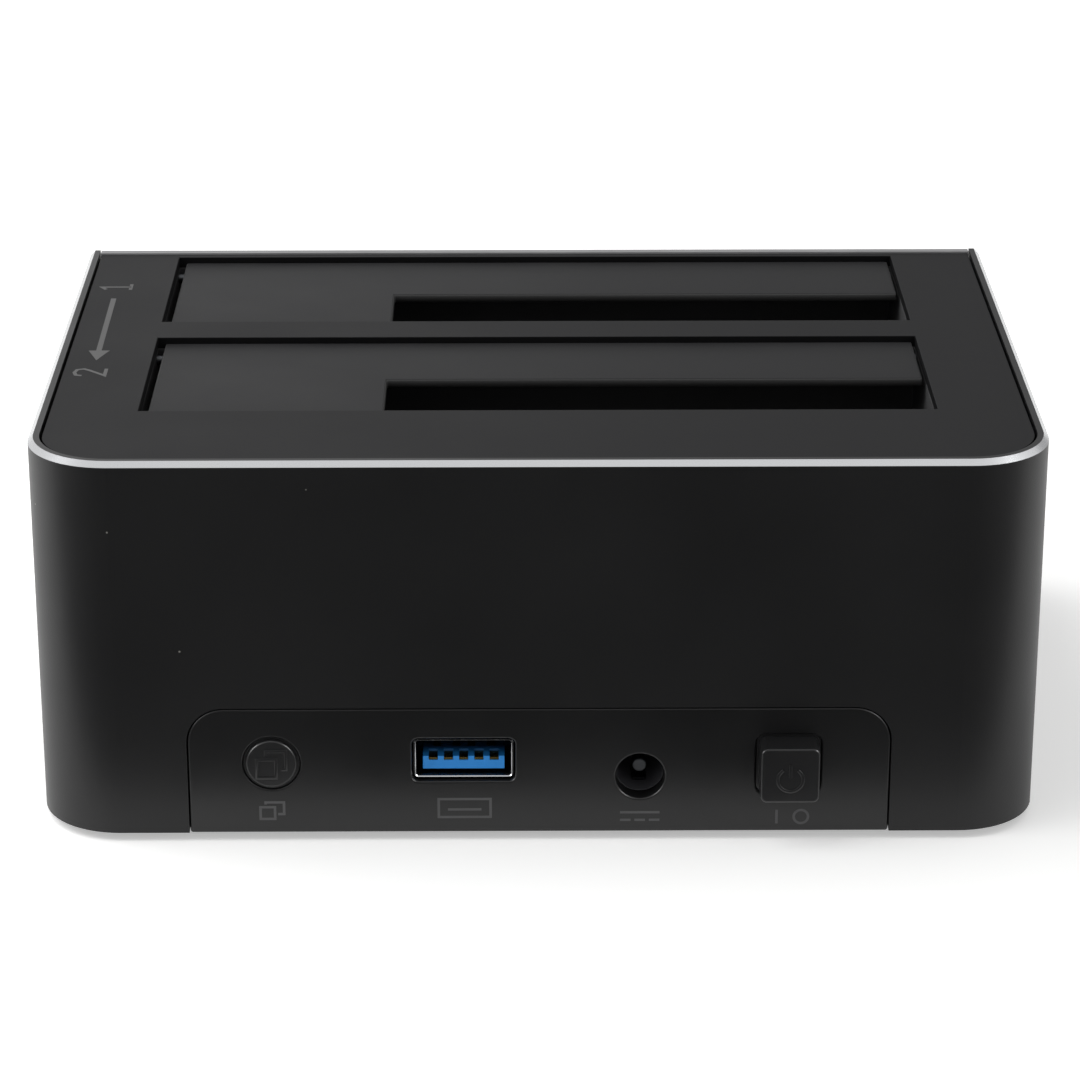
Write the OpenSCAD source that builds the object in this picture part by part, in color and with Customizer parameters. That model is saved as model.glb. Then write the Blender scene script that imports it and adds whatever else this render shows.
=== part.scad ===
// Two-bay hard drive docking station.
// Millimetres, +Z up, origin on the floor under the middle of the whole object.
// The rear face with the sockets looks towards -Y, the status lights look towards +Y.

/* [Drives] */
// Width of the large drive
drive_w = 101.6; // [95:0.1:110]
// Thickness of the large drive
drive_t = 26.1; // [22:0.1:30]
// Width of the small drive
small_drive_w = 69.85; // [66:0.05:74]
// Thickness of the small drive
small_drive_t = 12.5; // [9.5:0.1:14]
// Play at each end of a large drive
drive_end_play = 1.8; // [1.2:0.1:3]
// Play in front of and behind a large drive
drive_side_play = 0.2; // [0.1:0.05:0.6]
// Play along the small drive's notch
notch_end_play = 3.15; // [1:0.05:5]
// Play across the small drive's notch
notch_side_play = 2; // [0.5:0.1:2.5]

/* [Housing] */
// Deck between the rear face and the first bay
near_margin = 20; // [18:0.5:30]
// Deck between the two bays
bay_gap = 7; // [5:0.5:14]
// Deck at each end of a bay
side_margin = 13.4; // [12.4:0.1:20]
// Radius of the sleeve's upright corners
corner_r = 11; // [7:0.5:13]
// Thickness of the metal sleeve
wall_t = 1.5; // [1:0.1:2.2]
// Width of the bright cut along the top edge
rim_cut = 0.7; // [0.3:0.1:0.9]
// Groove between the sleeve and the top plate
seam = 0.35; // [0.2:0.05:0.6]
// Thickness of the top plate
plate_t = 1.6; // [1.2:0.1:1.8]
// Depth of the top plate under the rim
plate_drop = 0.2; // [0.1:0.05:0.3]
// Thickness of the front panel
front_t = 1.5; // [1.2:0.1:3]
// Width of the cut along the front panel's top edge
front_cut = 0.2; // [0.1:0.05:0.6]
// Gap between the top plate and the front panel
front_seam = 0.15; // [0.1:0.05:0.3]
// Thickness of the base tray
base_t = 2.4; // [2:0.1:3]
// Height of the rubber feet under the base
foot_h = 1.2; // [0.8:0.1:4]
// Radius of the rubber feet
foot_r = 5; // [3.5:0.25:6]

/* [Flaps] */
// Depth of the flaps under the rim
flap_recess = 1; // [0.8:0.1:1.3]
// Thickness of a flap
flap_t = 1.8; // [1.6:0.05:1.9]
// Gap along the swinging edge of a flap
flap_gap = 0.5; // [0.4:0.05:0.8]
// Gap at each end of a flap
flap_end_gap = 0.8; // [0.5:0.05:1.1]
// Sideways set of the flaps in their bays
flap_shift = 0.3; // [0:0.05:0.3]
// Radius of the hinge pins
pin_r = 0.7; // [0.6:0.02:0.75]
// Radius of the hinge barrels
barrel_r = 1.3; // [1.25:0.05:1.6]
// Depth of the hinge axis under the upper face of a flap
hinge_drop = 2; // [1.95:0.05:2.4]
// Radius of the hinge spring's wire
wire_r = 0.2; // [0.15:0.01:0.22]
// Turns of a hinge spring
spring_turns = 5; // [3:1:8]

/* [Wells] */
// Thickness of a well's end walls
well_end_t = 1.3; // [1:0.1:2]
// Thickness of a well's long walls
well_side_t = 1.2; // [0.9:0.1:1.6]
// Thickness of a well's floor
well_floor_t = 1.5; // [1.2:0.1:2.5]
// Room between an open flap's edge and the well floor
tip_room = 1.6; // [0.8:0.1:4]

/* [Rear panel] */
// Width of the socket panel
panel_w = 91.7; // [88:0.1:96]
// Height of the socket panel
panel_h = 17.7; // [16:0.1:19]
// Radius of the socket panel's upper corners
panel_r = 4.7; // [2:0.1:7]
// Gap round the socket panel
panel_fit = 0.15; // [0.1:0.05:0.3]
// Thickness of the panel's inner flange
flange_t = 1.2; // [1:0.1:2]

/* [Sockets and buttons] */
// Sideways place of the clone button
clone_x = -35; // [-38:0.1:-32]
// Height of the clone button over the sleeve's lower edge
clone_z = 10; // [9:0.1:10.5]
// Radius of the clone button
clone_r = 3.35; // [3:0.05:4]
// Travel of the clone button
clone_travel = 0.6; // [0.2:0.1:0.8]
// Sideways place of the USB socket
usb_x = -9.9; // [-13:0.1:-7]
// Height of the USB socket over the sleeve's lower edge
usb_z = 10.4; // [10:0.1:11.5]
// Sideways place of the power inlet
jack_x = 13.2; // [12:0.1:14.5]
// Height of the power inlet over the sleeve's lower edge
jack_z = 8; // [7.6:0.1:9]
// Radius of the power inlet's mouth
jack_r = 3.2; // [3:0.05:3.5]
// Radius of the power inlet's centre pin
jack_pin_r = 1; // [0.8:0.05:1.25]
// Sideways place of the power button
power_x = 32.6; // [31:0.1:35]
// Height of the power button over the sleeve's lower edge
power_z = 9.7; // [9:0.1:10]
// Width and height of the power button
power_w = 7.7; // [6.5:0.1:8.5]
// How far the power button stands out
power_out = 3.8; // [3:0.1:6]
// Travel of the power button
power_travel = 2.5; // [1.5:0.1:2.8]

/* [Board] */
// Thickness of the main board
board_t = 1.6; // [1:0.1:2]
// Room between the main board and the well floors
board_head = 2.1; // [1.8:0.1:4]
// Sideways place of the drive sockets
sata_x = 26; // [22:0.5:28]
// Screw shank radius
screw_r = 1.25; // [1:0.05:1.4]

/* [Hidden] */
$fn = 64;

// Fits and small standard sizes
pin_fit = 0.03;
flap_fit = 0.06;
stop_gap = 0.05;
open_play = 0.1;
barrel_gap = 0.3;
heel_gap = 0.4;
coil_play = 0.15;
coil_gap = 0.45;
well_gap = 0.3;
base_fit = 0.2;
socket_fit = 0.2;
button_fit = 0.4;
slide_fit = 0.1;
pilot_play = 0.05;
hole_play = 0.3;
head_r = screw_r + 0.95;
head_h = 1.2;
head_play = 0.2;
cross_w = 0.5;
cross_deep = 0.7;
boss_wall = 1.55;
boss_r = screw_r + boss_wall;

// Heights, upwards from the floor
usb_w = 13.1;
usb_h = 5.7;
usb_lift = 1.05;
z_base = foot_h;
z_tray = z_base + base_t;
z_usb = z_base + usb_z;
z_jack = z_base + jack_z;
z_clone = z_base + clone_z;
z_power = z_base + power_z;
z_board = z_usb + usb_h / 2 + usb_lift;
z_board_top = z_board + board_t;
z_well = z_board_top + board_head;
z_floor = z_well + well_floor_t;

// Bays and flaps
bay_w = drive_w + 2 * drive_end_play;
hinge_in = barrel_r + barrel_gap;
bay_d = drive_side_play + drive_t + hinge_in + hinge_drop + open_play;
notch_w = small_drive_w + notch_end_play;
notch_d = small_drive_t + notch_side_play;
notch_x = bay_w / 2 - notch_w;
flap_reach = bay_d - hinge_in - flap_gap;
flap_x0 = -bay_w / 2 + flap_end_gap + flap_shift;
flap_x1 = bay_w / 2 - flap_end_gap + flap_shift;
z_axis = z_floor + tip_room + flap_reach;
z_flap = z_axis + hinge_drop - flap_t;
z_top = z_axis + hinge_drop + flap_recess;
z_plate = z_top - plate_drop;
z_deck = z_plate - plate_t;

// Outer sizes, from the bays outwards
far_margin = front_t + well_gap + well_side_t;
body_w = bay_w + 2 * side_margin;
body_d = near_margin + 2 * bay_d + bay_gap + far_margin;
y_near = (power_out - body_d) / 2;
y_far = y_near + body_d;
y_panel_in = y_near + wall_t + flange_t;
y_front_in = y_far - front_t;
bay_b_y = y_near + near_margin;
bay_a_y = bay_b_y + bay_d + bay_gap;
bay_ys = [bay_a_y, bay_b_y];

// Hinge stops and springs
ledge_x = 30;
ledge_w = 6;
ledge_side_gap = 1;
ledge_h = 1.5;
coil_r = pin_r + coil_play + wire_r;
coil_pitch = 2 * wire_r + coil_gap;
coil_in = 3;
coil_x = flap_x0 + coil_in;
coil_start = 200;
coil_end = -98 - 360 * (spring_turns - 1);
coil_len = coil_pitch * (coil_start - coil_end) / 360;
coil_end_gap = 0.8;
rings_per_turn = 8;
wire_sides = 6;
leg_rings = 6;

// Fixing rows
row_gap = 1;
row_x = bay_w / 2 + well_end_t + boss_r + row_gap;
tab_t = 2;
tab_w = 9;
well_boss_h = 6;
post_boss_h = 6;
post_in = 3;
post_ys = [y_near + corner_r + post_in, bay_b_y + bay_d + bay_gap / 2];
rail_bite = 0.5;
rail_h = 15;
rail_x = body_w / 2 - wall_t - boss_r + rail_bite;
rail_near_in = 3;
rail_far_in = 6;
rail_ys = [bay_b_y + rail_near_in, bay_a_y + bay_d - rail_far_in];
foot_tab_w = 8;
foot_tab_d = 8;
foot_tab_h = 4;
front_tab_x = 30;
rear_tab_xs = [(clone_x + usb_x) / 2, (jack_x + power_x) / 2];
rear_tab_w = 6;
flange_out = 2.5;
rail_screw_in = 10;
post_screw_in = 8;
tip_gap = 0.5;
panel_screw_in = foot_tab_h - tip_gap;
board_screw_in = 6;
foot_sink = 0.6;
foot_side_gap = 4;
foot_near_in = 2;
foot_far_in = 12;
foot_x = row_x - boss_r - foot_r - foot_side_gap;
foot_ys = [y_near + corner_r + foot_near_in, y_far - foot_far_in];

// Main board and what stands on it
board_over = 2.15;
board_near_gap = 0.6;
board_far_gap = 2.4;
board_boss_side = 4;
board_boss_in = 6;
board_boss_gap = 0.5;
board_y0 = y_panel_in + board_near_gap;
board_y1 = y_front_in - board_far_gap;
board_boss_ys = [board_y0 + board_boss_in, board_y1 - board_boss_in];
chip_y = (board_y0 + bay_b_y - well_side_t) / 2;
bridge_size = [10, 10, 1.4];
bridge_back = 1.5;
flash_size = [5.3, 5.3, 1.7];
flash_x = -13;
regulator_size = [6.2, 5, 1.6];
regulator_x = 14;
regulator_gap = 1.4;
inductor_size = [6.6, 6.6, 3];
inductor_xs = [23.5, 32.5];
capacitor_r = 3.15;
capacitor_h = 7.7;
capacitor_xs = [-22, -31];
crystal_size = [5, 3.2, 1.1];
crystal_in = 2;
led_size = [2, 1.25, 0.8];
led_in = 1.2;
led_count = 6;
led_pitch = 8;
led_xs = [for (i = [0 : led_count - 1]) (i - (led_count - 1) / 2) * led_pitch];
pipe_r = 1;
pipe_up = 0.7;
pipe_root = 0.5;
pipe_z = z_board_top + pipe_up;
sata_w = 42;
sata_d = 6;
sata_h = 8.6;
sata_in = 4.2;
sata_fit = 0.4;
sata_pitch = 1.27;
sata_deep = 5.5;
sata_slot_w = 2.4;
sata_slot_end = 1.6;
sata_pin_w = 0.7;
sata_pin_t = 0.3;
sata_pin_gap = 0.6;
// Each row of contacts in a drive socket: its middle and its count
sata_rows = [[-12, 7], [7, 15]];

// USB socket
usb_len = 14;
usb_t = 0.3;
usb_r = 0.7;
usb_in = 0.8;
y_usb = y_near + usb_in;
usb_block = 5;
tongue_w = 10.7;
tongue_t = 1.84;
tongue_low = 0.6;
tongue_in = 0.8;
z_tongue = z_usb - usb_h / 2 + usb_t + tongue_low;
fast_pitch = 2;
fast_w = 1.1;
fast_len = 2;
fast_in = 1.2;
fast_deep = 0.6;
usb_pin_xs = [-3.5, -1, 1, 3.5];
usb_pin_w = 1;
usb_pin_t = 0.15;
usb_pin_gap = 0.6;
usb_leg = [1, 2.4];
usb_leg_side = 1.2;
usb_leg_in = 4;

// Power inlet
jack_w = 9;
jack_len = 14.5;
jack_deep = 10;
jack_wall = 1.5;
jack_pin_in = 3.5;
jack_root = 0.3;
leaf_w = 1.8;
leaf_len = 4.8;
leaf_in = 3;
leaf_t = 0.7;

// Power button and switch
power_r = 0.9;
wing_w = 1.2;
wing_t = 0.9;
stem_w = 3.3;
collar_len = 3.2;
collar_wall = 1;
collar_end = 0.8;
switch_w = 8.5;
switch_len = 12;
stem_in = 4;
stem_end = 0.5;
y_switch = y_panel_in + collar_len + power_travel + collar_end;

// Clone button and switch
clone_out = 0.3;
wing_h = 4;
clone_stem = 1.8;
tact_w = 6.2;
tact_t = 3.6;
tact_r = 1.75;
tact_in = 0.9;
tact_gap = 0.6;
y_tact = y_panel_in + clone_stem + clone_travel + tact_gap;

// Board bosses near the panel's ends, clear of both switches, and the board's width round them
board_boss_x = max(panel_w / 2 + board_over - board_boss_side,
    tact_w / 2 - clone_x + boss_r + board_boss_gap, power_x + switch_w / 2 + boss_r + board_boss_gap);
board_w = 2 * (board_boss_x + board_boss_side);

// Box between two corners
module block(x0, x1, y0, y1, z0, z1) {
    translate([x0, y0, z0]) cube([x1 - x0, y1 - y0, z1 - z0]);
}

// Box set by its middle in X and Y, and its lower face
module chip(x, y, z, size) {
    translate([x - size[0] / 2, y - size[1] / 2, z]) cube(size);
}

// Round bars along the three axes
module rod_x(x0, x1, y, z, r) {
    translate([x0, y, z]) rotate([0, 90, 0]) cylinder(h = x1 - x0, r = r);
}

module rod_y(x, y0, y1, z, r) {
    translate([x, y1, z]) rotate([90, 0, 0]) cylinder(h = y1 - y0, r = r);
}

module rod_z(x, y, z0, z1, r) {
    translate([x, y, z0]) cylinder(h = z1 - z0, r = r);
}

// Outline in X and Z, extruded along Y
module upright(y0, y1) {
    translate([0, y1, 0]) rotate([90, 0, 0]) linear_extrude(y1 - y0) children();
}

module rounded_rect(w, h, r) {
    square([w - 2 * r, h], center = true);
    square([w, h - 2 * r], center = true);
    for (sx = [-1, 1], sy = [-1, 1])
        translate([sx * (w / 2 - r), sy * (h / 2 - r)]) circle(r);
}

// Plan of the housing, drawn in by inset, with round corners at the rear
module plan(inset, y_end) {
    half = body_w / 2 - inset;
    y0 = y_near + inset;
    r = corner_r - inset;
    translate([-half, y0 + r]) square([2 * half, y_end - y0 - r]);
    translate([-half + r, y0]) square([2 * (half - r), r]);
    for (s = [-1, 1]) translate([s * (half - r), y0 + r]) circle(r);
}

// Socket panel in X and Z, grown all round, down to z_low
module panel_outline(grow, z_low) {
    half = panel_w / 2 + grow;
    r = panel_r + grow;
    top = z_base + panel_h + grow;
    translate([-half, z_low]) square([2 * half, top - r - z_low]);
    translate([-half + r, top - r]) square([2 * (half - r), r]);
    for (s = [-1, 1]) translate([s * (half - r), top - r]) circle(r);
}

// Cross-head screw with its head down at z and its shank upwards
module screw(x, y, z, len) {
    slot = head_r * 1.3;
    translate([x, y, z]) difference() {
        union() {
            cylinder(h = head_h, r = head_r);
            cylinder(h = head_h + len, r = screw_r);
        }
        for (a = [0, 90]) rotate(a) chip(0, 0, -cross_deep, [slot, cross_w, 2 * cross_deep]);
    }
}

// Hole for a screw that comes up through the base tray
module tray_hole(x, y, z_end) {
    rod_z(x, y, z_base - 1, z_base + head_h, head_r + head_play);
    rod_z(x, y, z_base, z_end, screw_r + hole_play);
}

// Wall of the sleeve in section: distance in from the outer face, and height
wall_section = [[0, z_base], [0, z_top - rim_cut], [rim_cut, z_top], [wall_t, z_top], [wall_t, z_base]];

module housing_sleeve() color("#2a2a2c") difference() {
    union() {
        for (s = [0, 1]) mirror([s, 0, 0]) {
            translate([-body_w / 2, y_far, 0]) rotate([90, 0, 0])
                linear_extrude(body_d - corner_r) polygon(wall_section);
            translate([corner_r - body_w / 2, y_near + corner_r, 0]) rotate(180)
                rotate_extrude(angle = 90) polygon([for (p = wall_section) [corner_r - p[0], p[1]]]);
            for (y = rail_ys) rod_z(-rail_x, y, z_tray, z_tray + rail_h, boss_r);
        }
        translate([corner_r - body_w / 2, y_near, 0]) rotate([90, 0, 90])
            linear_extrude(body_w - 2 * corner_r) polygon(wall_section);
    }
    upright(y_near - 1, y_near + wall_t + 1) panel_outline(panel_fit, z_base - 1);
    for (s = [-1, 1], y = rail_ys)
        rod_z(s * rail_x, y, z_tray - 1, z_tray + rail_screw_in + tip_gap, screw_r + pilot_play);
}

module front_panel() color("#303033") difference() {
    half = body_w / 2 - wall_t - panel_fit;
    union() {
        translate([-half, 0, 0]) rotate([90, 0, 90]) linear_extrude(2 * half)
            polygon([[y_front_in, z_base], [y_far, z_base], [y_far, z_top - front_cut],
                [y_far - front_cut, z_top], [y_front_in, z_top]]);
        for (s = [-1, 1])
            block(s * front_tab_x - foot_tab_w / 2, s * front_tab_x + foot_tab_w / 2,
                y_front_in - foot_tab_d, y_front_in + rim_cut, z_tray, z_tray + foot_tab_h);
    }
    for (s = [-1, 1])
        rod_z(s * front_tab_x, y_front_in - foot_tab_d / 2, z_tray - 1, z_tray + foot_tab_h + 1,
            screw_r + pilot_play);
    for (x = led_xs) rod_y(x, y_front_in - 1, y_far + 1, pipe_z, pipe_r + slide_fit);
}

module top_plate() color("#3c3c3e") difference() {
    union() {
        translate([0, 0, z_deck]) linear_extrude(plate_t) difference() {
            plan(wall_t + seam, y_front_in - front_seam);
            for (y = bay_ys) translate([-bay_w / 2, y]) square([bay_w, bay_d]);
        }
        for (s = [-1, 1], y = bay_ys)
            rod_z(s * row_x, y + bay_d / 2, z_deck - well_boss_h, z_deck + plate_t / 2, boss_r);
        for (s = [-1, 1], y = post_ys)
            rod_z(s * row_x, y, z_tray + post_boss_h, z_deck + plate_t / 2, boss_r);
    }
    for (s = [-1, 1], y = bay_ys)
        rod_z(s * row_x, y + bay_d / 2, z_deck - well_boss_h - 1, z_deck, screw_r + pilot_play);
    for (s = [-1, 1], y = post_ys)
        rod_z(s * row_x, y, z_tray, z_tray + post_boss_h + post_screw_in + tip_gap, screw_r + pilot_play);
}

// Well under a bay whose near edge is at y: drive guide, hinge lugs and flap stops
module bay_well(y) {
    y_axis = y + bay_d - hinge_in;
    x_out = bay_w / 2 + well_end_t;
    z_tab = z_deck - well_boss_h;
    difference() {
        union() {
            block(-x_out, x_out, y - well_side_t, y + bay_d + well_side_t, z_well, z_deck);
            for (s = [-1, 1])
                block(min(s * bay_w / 2, s * (row_x + boss_r)), max(s * bay_w / 2, s * (row_x + boss_r)),
                    y + bay_d / 2 - tab_w / 2, y + bay_d / 2 + tab_w / 2, z_tab - tab_t, z_tab);
        }
        block(-bay_w / 2, bay_w / 2, y, y + bay_d, z_floor, z_deck + 1);
        chip(sata_x, y + sata_in, z_well - 1,
            [sata_w + 2 * sata_fit, sata_d + 2 * sata_fit, well_floor_t + 2]);
        rod_x(-x_out - 1, x_out + 1, y_axis, z_axis, pin_r + pin_fit);
        for (s = [-1, 1])
            rod_z(s * row_x, y + bay_d / 2, z_tab - tab_t - 1, z_tab + 1, screw_r + hole_play);
    }
    for (s = [-1, 1])
        block(s * ledge_x - ledge_w / 2, s * ledge_x + ledge_w / 2, y_axis + pin_r + open_play,
            y + bay_d + well_side_t / 2, z_axis - ledge_h, z_flap - stop_gap);
}

module bay_well_a() color("#1c1c1e") bay_well(bay_a_y);
module bay_well_b() color("#1c1c1e") bay_well(bay_b_y);

// L-shaped flap: the near corner on the right is left out for the small drive
module flap(y) {
    y_axis = y + bay_d - hinge_in;
    gap = ledge_w / 2 + ledge_side_gap;
    spans = [[flap_x0, coil_x - coil_end_gap], [coil_x + coil_len + coil_end_gap, -ledge_x - gap],
        [gap - ledge_x, ledge_x - gap], [ledge_x + gap, flap_x1]];
    difference() {
        union() {
            block(flap_x0, flap_x1, y + notch_d, y + bay_d - heel_gap, z_flap, z_flap + flap_t);
            block(flap_x0, notch_x, y + flap_gap, y + bay_d / 2 + notch_d / 2, z_flap, z_flap + flap_t);
            for (s = spans) rod_x(s[0], s[1], y_axis, z_axis, barrel_r);
        }
        rod_x(flap_x0 - 1, flap_x1 + 1, y_axis, z_axis, pin_r + flap_fit);
        rod_x(coil_x - coil_end_gap, coil_x + coil_len + coil_end_gap, y_axis, z_axis,
            coil_r + wire_r + coil_play);
    }
}

module flap_a() color("#444446") flap(bay_a_y);
module flap_b() color("#444446") flap(bay_b_y);

module hinge_pin(y) {
    half = bay_w / 2 + well_end_t;
    rod_x(-half, half, y + bay_d - hinge_in, z_axis, pin_r);
}

module hinge_pin_a() color("#b8b8bc") hinge_pin(bay_a_y);
module hinge_pin_b() color("#b8b8bc") hinge_pin(bay_b_y);

// Torsion spring round the hinge axis: one leg on the well's far wall, one under the flap
function coil_point(a) = [coil_x + coil_pitch * (coil_start - a) / 360, coil_r * cos(a), coil_r * sin(a)];
function coil_way(a) = [0, sin(a), -cos(a)];
wall_leg = (hinge_in - wire_r - stop_gap - coil_r * cos(coil_start)) / -sin(coil_start);
flap_leg = (hinge_drop - flap_t - wire_r - stop_gap - coil_r * sin(coil_end)) / -cos(coil_end);
coil_steps = ceil(rings_per_turn * (coil_start - coil_end) / 360);
coil_angles = [for (i = [0 : coil_steps]) coil_start + (coil_end - coil_start) * i / coil_steps];
// Each stop along the wire: its middle and its angle round the hinge
wire_path = concat(
    [for (i = [0 : leg_rings - 1])
        [coil_point(coil_start) - coil_way(coil_start) * wall_leg * (1 - i / leg_rings), coil_start]],
    [for (a = coil_angles) [coil_point(a), a]],
    [for (i = [1 : leg_rings])
        [coil_point(coil_end) + coil_way(coil_end) * flap_leg * i / leg_rings, coil_end]]);
wire_apart = ceil(rings_per_turn * 0.75);
wire_least = min([for (i = [0 : len(wire_path) - 1], j = [i + wire_apart : 1 : len(wire_path) - 1])
    norm(wire_path[i][0] - wire_path[j][0])]) - 2 * wire_r;
echo("least gap of a hinge spring to itself", wire_least);

module flap_spring(y) {
    count = len(wire_path);
    points = [for (p = wire_path, k = [0 : wire_sides - 1])
        let (out = [0, cos(p[1]), sin(p[1])], side = cross(coil_way(p[1]), out), t = 360 * k / wire_sides)
        p[0] + wire_r * (cos(t) * out + sin(t) * side)];
    skin = [for (i = [0 : count - 2], k = [0 : wire_sides - 1], half = [0, 1])
        let (a = i * wire_sides + k, b = i * wire_sides + (k + 1) % wire_sides)
        half == 0 ? [a, b + wire_sides, b] : [a, a + wire_sides, b + wire_sides]];
    last = (count - 1) * wire_sides;
    ends = [for (k = [1 : wire_sides - 2], e = [0, 1])
        e == 0 ? [0, k, k + 1] : [last, last + k + 1, last + k]];
    translate([0, y + bay_d - hinge_in, z_axis]) polyhedron(points, concat(skin, ends));
}

module flap_spring_a() color("#c8c8cc") flap_spring(bay_a_y);
module flap_spring_b() color("#c8c8cc") flap_spring(bay_b_y);

module base_tray() color("#18181a") difference() {
    union() {
        translate([0, 0, z_base]) linear_extrude(base_t) plan(wall_t + base_fit, y_front_in);
        for (s = [-1, 1], y = post_ys) rod_z(s * row_x, y, z_base, z_tray + post_boss_h, boss_r);
        for (s = [-1, 1], y = board_boss_ys) rod_z(s * board_boss_x, y, z_base, z_board, boss_r);
    }
    for (s = [-1, 1], y = post_ys) tray_hole(s * row_x, y, z_tray + post_boss_h + 1);
    for (s = [-1, 1], y = rail_ys) tray_hole(s * rail_x, y, z_tray + 1);
    for (s = [-1, 1]) tray_hole(s * front_tab_x, y_front_in - foot_tab_d / 2, z_tray + 1);
    for (x = rear_tab_xs) tray_hole(x, y_panel_in + foot_tab_d / 2, z_tray + 1);
    for (s = [-1, 1], y = foot_ys) rod_z(s * foot_x, y, z_base - 1, z_base + foot_sink, foot_r + slide_fit);
    for (s = [-1, 1], y = board_boss_ys)
        rod_z(s * board_boss_x, y, z_board - board_screw_in - 1, z_board + 1, screw_r + pilot_play);
}

// Panel with the sockets, flush in the sleeve and held by a wider flange behind it
module rear_panel() color("#2c2c2e") difference() {
    union() {
        upright(y_near, y_near + wall_t) panel_outline(0, z_base);
        upright(y_near + wall_t, y_panel_in) panel_outline(flange_out, z_tray);
        for (x = rear_tab_xs)
            block(x - rear_tab_w / 2, x + rear_tab_w / 2, y_panel_in - flange_t / 2, y_panel_in + foot_tab_d,
                z_tray, z_tray + foot_tab_h);
    }
    upright(y_near - 1, y_panel_in + 1) translate([usb_x, z_usb])
        rounded_rect(usb_w + 2 * socket_fit, usb_h + 2 * socket_fit, usb_r + socket_fit);
    upright(y_near - 1, y_panel_in + 1) translate([power_x, z_power])
        rounded_rect(power_w + 2 * button_fit, power_w + 2 * button_fit, power_r + button_fit);
    rod_y(clone_x, y_near - 1, y_panel_in + 1, z_clone, clone_r + button_fit);
    rod_y(jack_x, y_near - 1, y_panel_in + 1, z_jack, jack_r);
    for (x = rear_tab_xs)
        rod_z(x, y_panel_in + foot_tab_d / 2, z_tray - 1, z_tray + foot_tab_h + 1, screw_r + pilot_play);
}

module rubber_feet() color("#101010")
    for (s = [-1, 1], y = foot_ys) rod_z(s * foot_x, y, 0, z_base + foot_sink, foot_r);

module sleeve_screws() color("#8f9194")
    for (s = [-1, 1], y = rail_ys) screw(s * rail_x, y, z_base, base_t - head_h + rail_screw_in);

module post_screws() color("#8f9194")
    for (s = [-1, 1], y = post_ys)
        screw(s * row_x, y, z_base, base_t - head_h + post_boss_h + post_screw_in);

module well_screws() color("#8f9194")
    for (s = [-1, 1], y = bay_ys)
        screw(s * row_x, y + bay_d / 2, z_deck - well_boss_h - tab_t - head_h,
            tab_t + well_boss_h - 2 * tip_gap);

module board_screws() color("#8f9194")
    for (s = [-1, 1], y = board_boss_ys)
        translate([s * board_boss_x, y, z_board_top + head_h]) mirror([0, 0, 1])
            screw(0, 0, 0, board_t + board_screw_in);

module panel_screws() color("#8f9194") {
    for (s = [-1, 1])
        screw(s * front_tab_x, y_front_in - foot_tab_d / 2, z_base, base_t - head_h + panel_screw_in);
    for (x = rear_tab_xs) screw(x, y_panel_in + foot_tab_d / 2, z_base, base_t - head_h + panel_screw_in);
}

module main_board() color("#1d4a30") difference() {
    block(-board_w / 2, board_w / 2, board_y0, board_y1, z_board, z_board_top);
    for (s = [-1, 1], y = board_boss_ys)
        rod_z(s * board_boss_x, y, z_board - 1, z_board_top + 1, screw_r + hole_play);
}

// Drive socket: one slot for the signal row and one for the power row
module sata_housing(y) difference() {
    block(sata_x - sata_w / 2, sata_x + sata_w / 2, y + sata_in - sata_d / 2, y + sata_in + sata_d / 2,
        z_board_top, z_board_top + sata_h);
    for (row = sata_rows)
        chip(sata_x + row[0], y + sata_in, z_board_top + sata_h - sata_deep,
            [row[1] * sata_pitch + sata_slot_end, sata_slot_w, sata_deep + 1]);
}

module sata_contacts(y) {
    for (row = sata_rows, i = [0 : row[1] - 1])
        chip(sata_x + row[0] + (i - (row[1] - 1) / 2) * sata_pitch,
            y + sata_in - sata_slot_w / 2 + sata_pin_t / 2, z_board_top + sata_h - sata_deep,
            [sata_pin_w, sata_pin_t, sata_deep - sata_pin_gap]);
}

module sata_housing_a() color("#202022") sata_housing(bay_a_y);
module sata_housing_b() color("#202022") sata_housing(bay_b_y);
module sata_contacts_a() color("#d4b060") sata_contacts(bay_a_y);
module sata_contacts_b() color("#d4b060") sata_contacts(bay_b_y);

module usb_shell() color("#c4c6c8") {
    upright(y_usb, y_usb + usb_len) translate([usb_x, z_usb]) difference() {
        rounded_rect(usb_w, usb_h, usb_r);
        rounded_rect(usb_w - 2 * usb_t, usb_h - 2 * usb_t, usb_r - usb_t);
    }
    for (s = [-1, 1])
        chip(usb_x + s * (usb_w / 2 - usb_leg_side), y_usb + usb_len - usb_leg_in,
            z_usb + usb_h / 2 - usb_t / 2, [usb_leg[0], usb_leg[1], usb_lift + usb_t / 2]);
}

// Insulator with its tongue in the lower half of the socket, five recesses open at the tongue's front
module usb_tongue() color("#2b8fe0") {
    in_w = usb_w - 2 * usb_t - slide_fit;
    in_h = usb_h - 2 * usb_t - slide_fit;
    upright(y_usb + usb_len - usb_block, y_usb + usb_len) translate([usb_x, z_usb])
        rounded_rect(in_w, in_h, usb_r - usb_t);
    difference() {
        block(usb_x - tongue_w / 2, usb_x + tongue_w / 2, y_usb + tongue_in, y_usb + usb_len - usb_block / 2,
            z_tongue, z_tongue + tongue_t);
        for (i = [-2 : 2])
            chip(usb_x + i * fast_pitch, y_usb + tongue_in, z_tongue + tongue_t - fast_deep,
                [fast_w + slide_fit, 2 * fast_in + fast_len + slide_fit, fast_deep + 1]);
    }
}

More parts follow.
